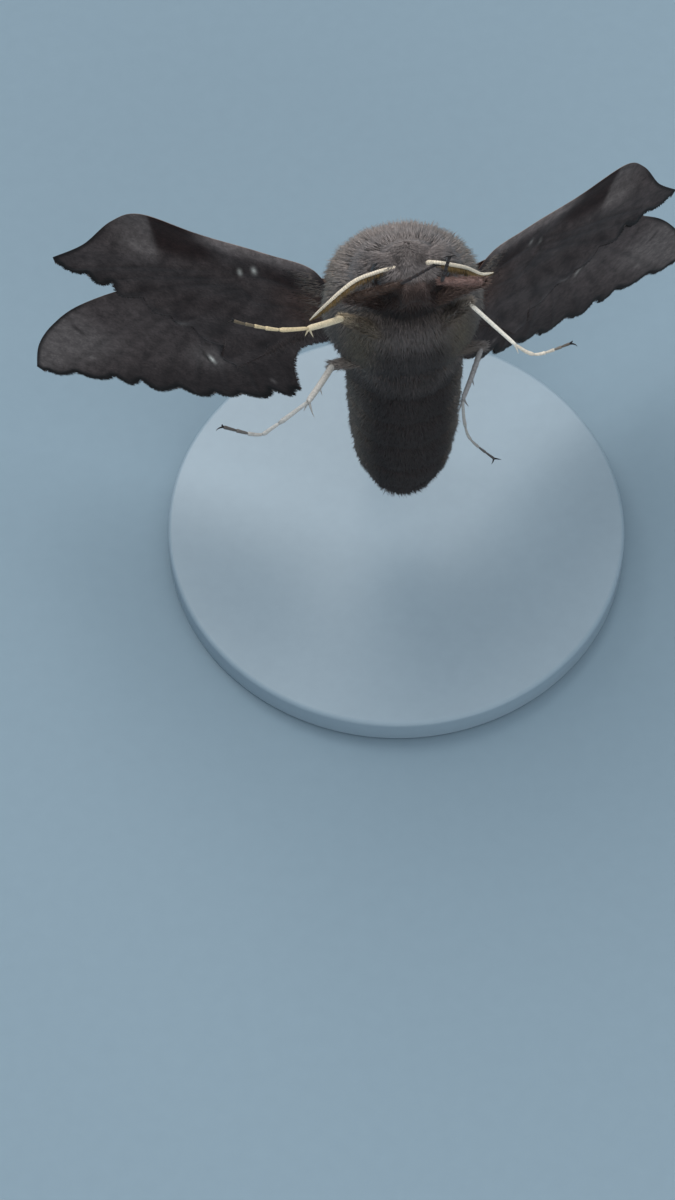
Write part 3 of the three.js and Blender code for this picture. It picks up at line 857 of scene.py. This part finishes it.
def joined(batches):
    """Batches of locks as one."""
    return {key: np.concatenate([batch[key] for batch in batches]) for key in batches[0]}


batches = []
for number, (wing, mark, grid) in enumerate(wings):
    for under in (True, False):
        flat = np.stack([
            draws.uniform(0.3, ROOT_HAIR_REACH, ROOT_HAIRS),
            draws.uniform(-ROOT_HAIR_SPREAD, ROOT_HAIR_SPREAD, ROOT_HAIRS),
        ], 1)
        front = np.interp(flat[:, 0], grid[:, -1, 0], grid[:, -1, 1])
        rear = np.interp(flat[:, 0], grid[:INNER_ROWS, 0, 0], grid[:INNER_ROWS, 0, 1])
        fade = draws.random(ROOT_HAIRS) < smooth(ROOT_HAIR_REACH, 2.0, flat[:, 0])
        flat = flat[(flat[:, 1] < front - 0.3) & (flat[:, 1] > rear + 0.3) & fade]
        spots, above, outward, forward = wing_frame(flat, wing)
        away = -above if under else above
        count = len(flat)
        clear = np.full(count, FAR_OFF)
        shade = layered(mark(flat, clear, clear, under), (BACK_GREY, 0.3 * smooth(3.5, 1.0, flat[:, 0])))
        size = smooth(ROOT_HAIR_REACH + 1, 1.0, flat[:, 0])
        batches.append({
            "roots": spots + LOCK_SINK * away, "normals": away,
            "lays": outward + forward * draws.normal(-0.25, 0.2, (count, 1)),
            "lengths": (0.45 + 0.7 * size) * draws.uniform(0.8, 1.2, count),
            "widths": draws.uniform(0.07, 0.11, count),
            "rises": draws.uniform(0.05, 0.16, count),
            "curls": draws.uniform(0.02, 0.10, count),
            # Painted a fifth lighter than the wing, against the shade among the hairs.
            "colours": shade * draws.normal(1.2, 0.12, (count, 1)),
            "unwrap": in_cell(2 * number + (not under), flat[:, 0] / 8, (flat[:, 1] + 5) / 10),
        })
    hind = wing["name"].startswith("hindwing")
    if hind:
        count = INNER_HAIRS
        share = draws.uniform(0.03, 0.75, count)
        flat = at_share(grid[:INNER_ROWS, 0], share)
        flat = flat + np.stack([0 * share, draws.uniform(0.1, 1.6, count)], 1)
        spots, above, outward, forward = wing_frame(flat, wing)
        away = either_side(above)
        shade = layered(BELLY_SHADED_GREY, (UNDER_GREY, smooth(0.1, 0.45, share)))
        batches.append({
            "roots": spots + LOCK_SINK * away, "normals": away,
            "lays": -forward - outward * draws.normal(0.5, 0.3, (count, 1)),
            "lengths": draws.uniform(1.3, 2.2, count) * (1 - 0.8 * share),
            "widths": draws.uniform(0.06, 0.10, count),
            "rises": draws.uniform(0.05, 0.30, count),
            "curls": draws.uniform(0.0, 0.08, count),
            "colours": shade * draws.normal(0.95, 0.10, (count, 1)),
            "unwrap": in_cell(12 + number, share, flat[:, 1] / 8 % 1),
        })
    line = grid[:, 0]
    lengths = arc_lengths(line)
    count = int(lengths[-1] * FRINGE_TO_MM)
    share = np.sort(draws.random(count))
    ahead = heading(line, share, 0.002)
    out = np.stack([ahead[:, 1], -ahead[:, 0]], 1)
    flat = at_share(line, share) - FRINGE_SINK * out
    spots, above, outward, forward = wing_frame(flat, wing)
    inner_length = lengths[INNER_ROWS] / lengths[-1]
    beyond = np.clip((share - inner_length) / (1 - inner_length), 0, 1)
    notch = peak(np.sin(np.pi * lobe_phase(beyond, wing["lobes"])), 0, NOTCH_WIDTH) * (beyond > 0.01)
    own = mark(flat, np.full(count, FAR_OFF), np.full(count, FAR_OFF), True)
    bare = smooth(23, 19, flat[:, 0]) if hind else 0.8 * (beyond <= 0)
    lay = outward * out[:, :1] + forward * out[:, 1:]
    aside = outward * ahead[:, :1] + forward * ahead[:, 1:]
    away = either_side(above)
    batches.append({
        "roots": spots + LOCK_SINK * away, "normals": away,
        "lays": lay + aside * draws.normal(0, 0.12, (count, 1)),
        "lengths": FRINGE_LENGTH * draws.uniform(0.7, 1.2, count),
        "widths": draws.uniform(0.07, 0.10, count),
        "rises": draws.uniform(0.02, 0.12, count),
        "curls": draws.uniform(0.0, 0.05, count),
        "colours": layered(EDGE_DARK, (own, bare), (UNDER_PALE, 0.65 * notch * (1 - bare))),
        "unwrap": in_cell(8 + number, share, draws.random(count)),
    })
grow_locks("coat_wings", "wing", **joined(batches))

# ---------------- legs
# Six jointed legs of thin horn under flat scales: a femur, a slimmer pale tibia with spurs, a tarsus of
# five rings that widen to their ends, and two dark hooked claws. The scales are their own coat.

# A leg's fluff is how long its tibia's hair is, from 0 to 1, slim scales its tibia and tarsus, cuff is how
# pale its femur's end is, and each spur has its place on the tibia, its direction and its length.
# Tints of femur, tibia and tarsus, which differ from the mirror leg's as painted light and shade.
LEGS = {
    "front_right": {
        "hip": (-1.4, -4.1, 5.2), "knee": (-5.5, -4.8, 8.4), "ankle": (-1.5, -6.8, 12.5),
        "foot": ((-0.4, -7.9, 15.0), (0.9, -9.0, 17.7)), "spurs": (),
        "fluff": 1.0, "slim": (1.0, 0.85), "cuff": 0.2, "tints": ("#4b3f3b", "#4b3d37", "#2e2422"),
    },
    "front_left": {
        "hip": (1.4, -4.1, 5.2), "knee": (5.8, -5.5, 9.5), "ankle": (2.0, -6.8, 12.2),
        "foot": ((2.0, -8.0, 15.3), (2.1, -9.0, 18.6)), "spurs": (),
        "fluff": 1.0, "slim": (1.0, 0.95), "cuff": 0.2, "tints": ("#63534d", "#826a64", "#2e2422"),
    },
    "middle_right": {
        "hip": (-1.9, -4.4, 0.8), "knee": (-6.0, -5.0, 6.0), "ankle": (-9.4, -8.0, 9.5),
        "foot": ((-12.0, -8.5, 10.6), (-14.7, -9.0, 12.7), (-15.7, -9.0, 13.4)),
        "spurs": ((1.0, (0.3, -0.4, -0.9), 1.0), (1.0, (-0.5, -0.5, -0.6), 0.8)),
        "fluff": 0.0, "slim": (1.0, 0.95), "cuff": 0.45, "tints": ("#77705f", "#d5c5a7", "#c9b693"),
    },
    "middle_left": {
        "hip": (1.9, -4.4, 0.8), "knee": (4.8, -4.9, 5.8), "ankle": (8.4, -8.2, 3.4),
        "foot": ((10.1, -8.8, 2.5), (12.9, -9.0, 3.8)),
        "spurs": ((1.0, (0.3, -0.5, -0.9), 1.0), (1.0, (0.7, -0.2, -0.7), 0.8)),
        "fluff": 0.0, "slim": (0.66, 0.85), "cuff": 0.15, "tints": ("#615b56", "#e6dfd2", "#cfc6b8"),
    },
    "hind_right": {
        "hip": (-2.2, -3.9, -3.2), "knee": (-6.6, -3.2, -3.6), "ankle": (-9.5, -8.0, -1.6),
        "foot": ((-12.7, -8.8, -3.7), (-14.1, -9.0, -4.2), (-17.0, -9.0, -2.3)),
        "spurs": (
            (1.0, (0.3, -0.7, -1.2), 1.7), (1.0, (-0.5, -0.3, -1.1), 1.2), (0.6, (0.2, -0.3, -1.0), 1.1),
        ),
        "fluff": 0.15, "slim": (1.05, 1.05), "cuff": 0.2, "tints": ("#8a8480", "#b0aeaa", "#abaaa7"),
    },
    "hind_left": {
        "hip": (2.2, -3.9, -3.2), "knee": (6.6, -3.2, -3.6), "ankle": (4.1, -8.0, -4.3),
        "foot": ((4.2, -8.6, -6.8), (4.8, -9.0, -9.4), (7.0, -9.0, -13.0)),
        "spurs": (
            (1.0, (-0.5, -0.5, -1.5), 1.8), (1.0, (0.5, -0.3, -1.2), 1.2), (0.6, (0.2, -0.3, -1.0), 1.1),
        ),
        "fluff": 0.4, "slim": (0.8, 0.75), "cuff": 0.2, "tints": ("#5e5957", "#858485", "#9c9a97"),
    },
}
FEMUR_SHAPE = ((0, 0.3), (0.3, 0.48), (0.7, 0.4), (0.95, 0.32), (1, 0.2))
TIBIA_SHAPE = ((0, 0.2), (0.08, 0.29), (0.5, 0.28), (0.93, 0.26), (1, 0.18))
RING_SHAPE = ((0, 0.6), (0.1, 0.82), (0.75, 1.0), (0.93, 1.12), (1, 0.7))
TARSUS_ENDS = (0.0, 0.36, 0.56, 0.72, 0.85, 1.0)
TARSUS_RADII = (0.20, 0.14)
FOOT_BROWN = linear("#2c2321")
CLAW_BLACK = linear("#171110")
CLAW_LENGTH, CLAW_RADIUS = 0.75, 0.1
SPUR_RADIUS = 0.14
# Hair of femur, tibia and tarsus, and what full fluff adds to a tibia's. to_mm is locks to a square mm.
LEG_HAIR = (
    {"to_mm": 85, "length": 1.25, "width": 0.10, "rise": 0.45, "curl": 0.1},
    {"to_mm": 70, "length": 0.4, "width": 0.08, "rise": 0.2, "curl": 0.04},
    {"to_mm": 80, "length": 0.2, "width": 0.06, "rise": 0.16, "curl": 0.03},
)
FLUFF_LENGTH, FLUFF_RISE = 0.55, 0.25
OBLIQUE = (0.31, 0.52, 0.79)


def tube(path, radii, colours, sides=12):
    """The places, triangles and colours of a closed round rod, with a radius at each place on its path."""
    path, radii = np.asarray(path, float), np.asarray(radii, float)
    ahead = unit(np.gradient(path, axis=0))
    across = np.zeros_like(path)
    across[0] = unit(np.cross(ahead[0], OBLIQUE))
    for k in range(1, len(path)):
        across[k] = unit(across[k - 1] - ahead[k] * (across[k - 1] @ ahead[k]))
    turns = 2 * np.pi * np.arange(sides)[:, None] / sides
    rings = across[:, None] * np.cos(turns) + np.cross(ahead, across)[:, None] * np.sin(turns)
    points = (path[:, None] + rings * radii[:, None, None]).reshape(-1, 3)
    a = np.arange(len(points)).reshape(-1, sides)
    b = np.roll(a, -1, axis=1)
    walls = np.stack([a[:-1], b[:-1], b[1:], a[:-1], b[1:], a[1:]], -1)
    first, last = np.full(sides, len(points)), np.full(sides, len(points) + 1)
    ends = np.stack([first, b[0], a[0], last, a[-1], b[-1]], 1)
    tints = np.repeat(np.broadcast_to(colours, path.shape), sides, axis=0)
    triangles = np.concatenate([walls.reshape(-1, 3), ends.reshape(-1, 3)])
    points = np.concatenate([points, path[:1], path[-1:]])
    return points, triangles, np.concatenate([tints, tints[:1], tints[-1:]])


def join_parts(name, parts):
    """One painted object from the places, triangles and colours of several closed solids."""
    points, triangles, colours = zip(*parts)
    starts = np.cumsum([0] + [len(part) for part in points])
    faces = [part + start for part, start in zip(triangles, starts)]
    item = array_mesh(name, np.concatenate(points), np.concatenate(faces))
    paint(item, np.concatenate(colours))
    return item


def shape_at(shape, share):
    """The radius at shares of a rod's length, from pairs of share and radius."""
    return np.interp(share, *zip(*shape))


def tube_spots(path, radii, to_mm):
    """Random places on a rod: roots, normals, directions along it, and shares of length and turn."""
    steps = np.linalg.norm(np.diff(path, axis=0), axis=1)
    area = 2 * np.pi * (steps * (radii[1:] + radii[:-1]) / 2).sum()
    share, turn = draws.random((2, draws.poisson(area * to_mm)))
    ahead = heading(path, share, 0.02)
    across = unit(np.cross(ahead, OBLIQUE))
    angle = (2 * np.pi * turn)[:, None]
    normals = across * np.cos(angle) + np.cross(ahead, across) * np.sin(angle)
    size = np.interp(share, np.linspace(0, 1, len(radii)), radii)
    return at_share(path, share) + normals * size[:, None], normals, ahead, share, turn


# Leg scales: chalky, matt and finely speckled, so that the pale tibiae catch the light softly.
SPECKLE_SIZE = 0.15
leg_scales, tree, where = new_material("leg_scales", Roughness=0.7, Sheen_Weight=0.05, Specular_IOR_Level=0.3)
speckles, shade = grain(tree, where, (SPECKLE_SIZE,) * 3, 0.75, 1.15)
shaded(tree, shade, height=speckles, strength=0.5, depth=0.04)

batches = []
for number, (name, leg) in enumerate(LEGS.items()):
    hip, knee, ankle = (np.array(leg[key]) for key in ("hip", "knee", "ankle"))
    femur_tint, tibia_tint, tarsus_tint = (linear(code) for code in leg["tints"])
    shares = np.linspace(0, 1, 25)
    thigh = at_share(margin([hip, (hip + knee) / 2 + (0, 0.15, 0.2), knee]), shares)
    shin = at_share(margin([knee, (knee + ankle) / 2 + (0, -0.15, 0.15), ankle]), shares)
    toes = margin([ankle, *leg["foot"]])
    limbs = [
        (thigh, shape_at(FEMUR_SHAPE, shares), femur_tint, 0),
        (shin, shape_at(TIBIA_SHAPE, shares) * leg["slim"][0], tibia_tint, 1),
    ]
    for ring, (start, end) in enumerate(zip(TARSUS_ENDS, TARSUS_ENDS[1:])):
        inside = np.linspace(0, 1, 9)
        radii = leg["slim"][1] * toward(*TARSUS_RADII, start) * shape_at(RING_SHAPE, inside)
        shade = layered(tarsus_tint, (FOOT_BROWN, [0.85 * smooth(0.6, 1.05, start + 0.08 * ring)]))[0]
        limbs.append((at_share(toes, toward(start, end, inside)), radii, shade, 2))
    parts = [tube(path, radii, shade) for path, radii, shade, part in limbs]
    ahead = unit(toes[-1] - toes[-8])
    for turn in (-1, 1):
        aside = unit(np.cross(ahead, (0, 1, 0))) * turn
        bow = np.linspace(0, 1, 9)[:, None]
        hook = toes[-1] + ahead * CLAW_LENGTH * 0.55 * np.sin(1.7 * bow) + aside * CLAW_LENGTH * 0.7 * bow
        hook = hook + np.array([0, -0.25, 0]) * bow**2 * CLAW_LENGTH
        parts.append(tube(hook, CLAW_RADIUS * (1 - 0.9 * bow[:, 0]), CLAW_BLACK, 8))
    for share, way, length in leg["spurs"]:
        bow = np.linspace(0, 1, 8)[:, None]
        path = at_share(shin, [share * 0.97]) + unit(np.array(way)) * length * bow
        path = path + unit(ankle - knee) * (0.2 * length * bow * (1 - bow))
        parts.append(tube(path, SPUR_RADIUS * (1 - 0.9 * bow[:, 0]), tibia_tint * 0.85, 8))
    nodes = (f"leg_{name}_{part}" for part in ("femur", "tibia", "tarsus"))
    place(join_parts(f"leg_{name}_horn", parts), leg_scales, "leg", *nodes)
    for path, radii, shade, part in limbs:
        hair = LEG_HAIR[part]
        fluff = leg["fluff"] * (part == 1)
        roots, normals, ahead, share, turn = tube_spots(path, radii, hair["to_mm"])
        count = len(roots)
        tints = shade
        if part == 0:
            own = 0.15 + 0.6 * leg["fluff"] * name.endswith("left")
            cuff = leg["cuff"] * smooth(0.65, 1.0, share)
            tints = layered(body_colours(roots), (shade, np.full(count, own)), (tibia_tint, cuff))
        size = hair["length"] + FLUFF_LENGTH * fluff
        batches.append({
            "roots": roots, "normals": normals,
            "lays": ahead + np.cross(normals, ahead) * draws.normal(0, 0.15, (count, 1)),
            "lengths": size * draws.uniform(0.7, 1.25, count) * (1 - 0.35 * share),
            "widths": hair["width"] * draws.uniform(0.8, 1.2, count),
            "rises": (hair["rise"] + FLUFF_RISE * fluff) * draws.uniform(0.6, 1.3, count),
            "curls": np.full(count, hair["curl"]),
            "colours": np.clip(tints * draws.normal(1.0, 0.10, (count, 1)), 0.004, 1),
            "unwrap": in_cell(number * 2 + (part == 2), (share + (part == 1)) / 2, turn),
        })
grow_locks("coat_legs", "leg", **joined(batches))

# ---------------- antennae
# Two feelers, each a cream scaled shaft of about fifty short rings that tapers to a bent tip, with two
# rows of fine ochre-brown comb teeth on its underside.
ANTENNA_PATHS = {
    "right": (
        (-1.3, -3.4, 10.0), (-1.7, -3.75, 10.55), (-2.9, -4.1, 10.8), (-4.6, -4.3, 10.4), (-5.8, -4.6, 9.75),
        (-7.1, -4.8, 8.4), (-8.8, -4.6, 5.7),
    ),
    "left": (
        (1.3, -3.4, 10.1), (1.6, -3.8, 10.8), (2.3, -4.1, 11.0), (3.2, -3.9, 10.3), (4.8, -3.2, 8.5),
        (6.4, -2.2, 5.9), (7.6, -1.3, 4.6),
    ),
}
ANTENNA_RINGS = 52
SHAFT_SHAPE = ((0, 0.18), (0.02, 0.24), (0.06, 0.24), (0.1, 0.175), (0.5, 0.175), (0.9, 0.12), (1, 0.04))
SHAFT_CREAM = linear("#ddd1be")
SHAFT_JOINT = linear("#b4a48c")
COMB_OCHRE = linear("#75603f")
COMB_LENGTH = 0.9
COMB_WAYS = np.array([[0.0, -0.85, -0.5], [0.0, -0.15, -1.0]])

batches = []
for number, (side, corners) in enumerate(ANTENNA_PATHS.items()):
    route = margin(corners)
    shares = np.linspace(0, 1, ANTENNA_RINGS * 6 + 1)
    phase = shares * ANTENNA_RINGS % 1
    joint = peak(np.minimum(phase, 1 - phase), 0, 0.13)
    radii = shape_at(SHAFT_SHAPE, shares) * (1 - 0.13 * joint)
    shaft = tube(at_share(route, shares), radii, layered(SHAFT_CREAM, (SHAFT_JOINT, 0.7 * joint)), 14)
    place(join_parts(f"antenna_{side}_shaft", [shaft]), leg_scales, "antenna", f"antenna_{side}")
    for row, way in enumerate(COMB_WAYS):
        share = np.repeat((np.arange(5, ANTENNA_RINGS) + 0.5) / ANTENNA_RINGS, 6)
        share = share + draws.normal(0, 0.002, len(share))
        ahead = heading(route, share, 0.01)
        out = unit(way - ahead * (ahead @ way)[:, None])
        count = len(share)
        size = np.interp(share, (0.08, 0.25, 0.7, 1.0), (0.4, 1.0, 0.9, 0.25))
        batches.append({
            "roots": at_share(route, share) + out * (0.8 * shape_at(SHAFT_SHAPE, share))[:, None],
            "normals": out, "lays": ahead,
            "lengths": COMB_LENGTH * size * draws.uniform(0.75, 1.1, count),
            "widths": draws.uniform(0.06, 0.09, count),
            "rises": draws.normal(1.15, 0.16, count),
            "curls": draws.uniform(-0.05, 0.05, count),
            "colours": COMB_OCHRE * draws.normal(1.0, 0.2, (count, 1)).clip(0.4, 1.6),
            "unwrap": in_cell(4 * number + row, share, draws.random(count)),
        })
grow_locks("coat_antennae", "antenna", **joined(batches))

# ---------------- stand
# A turned steel plate under satin grey-blue paint, and a bent steel rod with a brushed finish that holds
# the moth by its low back. The rod stands in the plate and ends in the coat.
BASE_RADIUS, BASE_HEIGHT = 22.0, 3.0
BASE_BEVEL, BASE_SIDES = 0.5, 160
ROD_RADIUS, ROD_STEPS, ROD_SIDES = 0.9, 160, 40
ROD_ROUTE = ((0, 10.5, -37.2), (0, 10.5, -26), (0, 10.5, -16), (0, 9.7, -10), (0, 8, -6.8), (0, 4.7, -5.3))
PAINT_GREY = linear("#8294a1")
STEEL_GREY = linear("#a9aaa9")
PEEL_SIZE = 1.2
SCRATCH_WIDTH, SCRATCH_LENGTH = 0.08, 4

# Satin paint: an even soft gloss, with the faint unevenness of a sprayed coat.
satin_paint, tree, where = new_material("satin_paint", Roughness=0.5, Coat_Weight=0.1, Coat_Roughness=0.35)
peel, shade = grain(tree, where, (PEEL_SIZE,) * 3, 0.96, 1.04, detail=2.0, ends=(0, 1))
shaded(tree, shade, PAINT_GREY, height=peel, strength=0.15, depth=0.02)
bpy.ops.object.select_all(action="DESELECT")
bpy.ops.mesh.primitive_cylinder_add(
    vertices=BASE_SIDES, radius=BASE_RADIUS * MM, depth=BASE_HEIGHT * MM,
    location=(0, 0, BASE_HEIGHT * MM / 2),
)
plate = bpy.context.object
plate.name = plate.data.name = "stand_plate"
bpy.ops.object.transform_apply(location=True, rotation=True, scale=True)
apply_modifier(
    plate, "BEVEL", width=BASE_BEVEL * MM, segments=6, limit_method="ANGLE", angle_limit=math.radians(40),
)
bpy.ops.object.shade_smooth_by_angle(angle=math.radians(10))
place(plate, satin_paint, "stand_paint", "stand_base")

# Brushed steel: a bright metal, whose fine scratches along the rod draw its highlights out.
steel, tree, where = new_material("brushed_steel", Metallic=1.0, Base_Color=(*STEEL_GREY, 1))
rub = grain(tree, where, (SCRATCH_WIDTH, SCRATCH_WIDTH, SCRATCH_LENGTH), 0.28, 0.48)[1]
tree.links.new(rub, tree.nodes["Principled BSDF"].inputs["Roughness"])
route = at_share(margin(ROD_ROUTE), np.linspace(0, 1, ROD_STEPS + 1))
rod = tube(route, np.full(len(route), ROD_RADIUS), STEEL_GREY, ROD_SIDES)
place(join_parts("stand_bent_rod", [rod]), steel, "stand_steel", "stand_rod")

# ---------------- studio
# A plain pale floor of matt paper, and soft warm light from behind, from above and from the front, under
# an even sky of a pale grey-blue.
PALE_FLOOR = linear("#7c8f9c")
SKY = linear("#91a4b1")
FLOOR_SIZE = 12.0
FIBRE_SIZE = 1.5
WARM_WHITE = (1.0, 0.95, 0.90)
SOFT_LIGHTS = {
    "light_back": {"from": (-0.20, 0.60, 0.77), "spread": 50, "strength": 2.0},
    "light_top": {"from": (0.05, 0.05, 1.0), "spread": 80, "strength": 1.3},
    "light_front": {"from": (0.15, -0.97, 0.12), "spread": 70, "strength": 1.6},
}
bpy.ops.object.select_all(action="DESELECT")
bpy.ops.mesh.primitive_plane_add(size=FLOOR_SIZE)
floor = bpy.context.object
floor.name = "floor"

# Floor paper: matt, with no shine and a faint fibre.
paper, tree, where = new_material("floor_paper", Roughness=1.0, Specular_IOR_Level=0.05)
fibres, shade = grain(tree, where, (FIBRE_SIZE,) * 3, 0.97, 1.03, ends=(0, 1))
shaded(tree, shade, PALE_FLOOR, height=fibres, strength=0.1, depth=0.05)
floor.data.materials.append(paper)

world = bpy.data.worlds.new("studio")
bpy.context.scene.world = world
world.use_nodes = True
world.node_tree.nodes["Background"].inputs["Color"].default_value = (*SKY, 1)
world.node_tree.nodes["Background"].inputs["Strength"].default_value = 1.0
for name, light in SOFT_LIGHTS.items():
    bpy.ops.object.light_add(type="SUN", location=light["from"])
    lamp = bpy.context.object
    lamp.name = name
    lamp.data.angle = math.radians(light["spread"])
    lamp.data.energy = light["strength"]
    lamp.data.color = WARM_WHITE
    lamp.rotation_euler = Vector(light["from"]).to_track_quat("Z", "Y").to_euler()

# ---------------- camera
# Above and in front of the moth, looking down on its belly side from 300 mm away.
VIEW_DISTANCE = 300.0
VIEW_AZIMUTH, VIEW_ELEVATION = -10.5, 55.0
AXIS_AZIMUTH, AXIS_ELEVATION = -8.618, 59.971
LENS, SENSOR = 103.09, 36.0
out, up = turned(1, 0, VIEW_ELEVATION)
camera = bpy.data.objects.new("camera", bpy.data.cameras.new("camera"))
bpy.context.scene.collection.objects.link(camera)
camera.location = to_world(VIEW_DISTANCE * np.array([*turned(0, -out, VIEW_AZIMUTH), up]))
camera.rotation_euler = (math.radians(90 - AXIS_ELEVATION), 0, math.radians(AXIS_AZIMUTH))
camera.data.lens = LENS
camera.data.sensor_width = SENSOR
camera.data.clip_start = 0.01
bpy.context.scene.camera = camera
bpy.context.scene.view_settings.view_transform = "Standard"
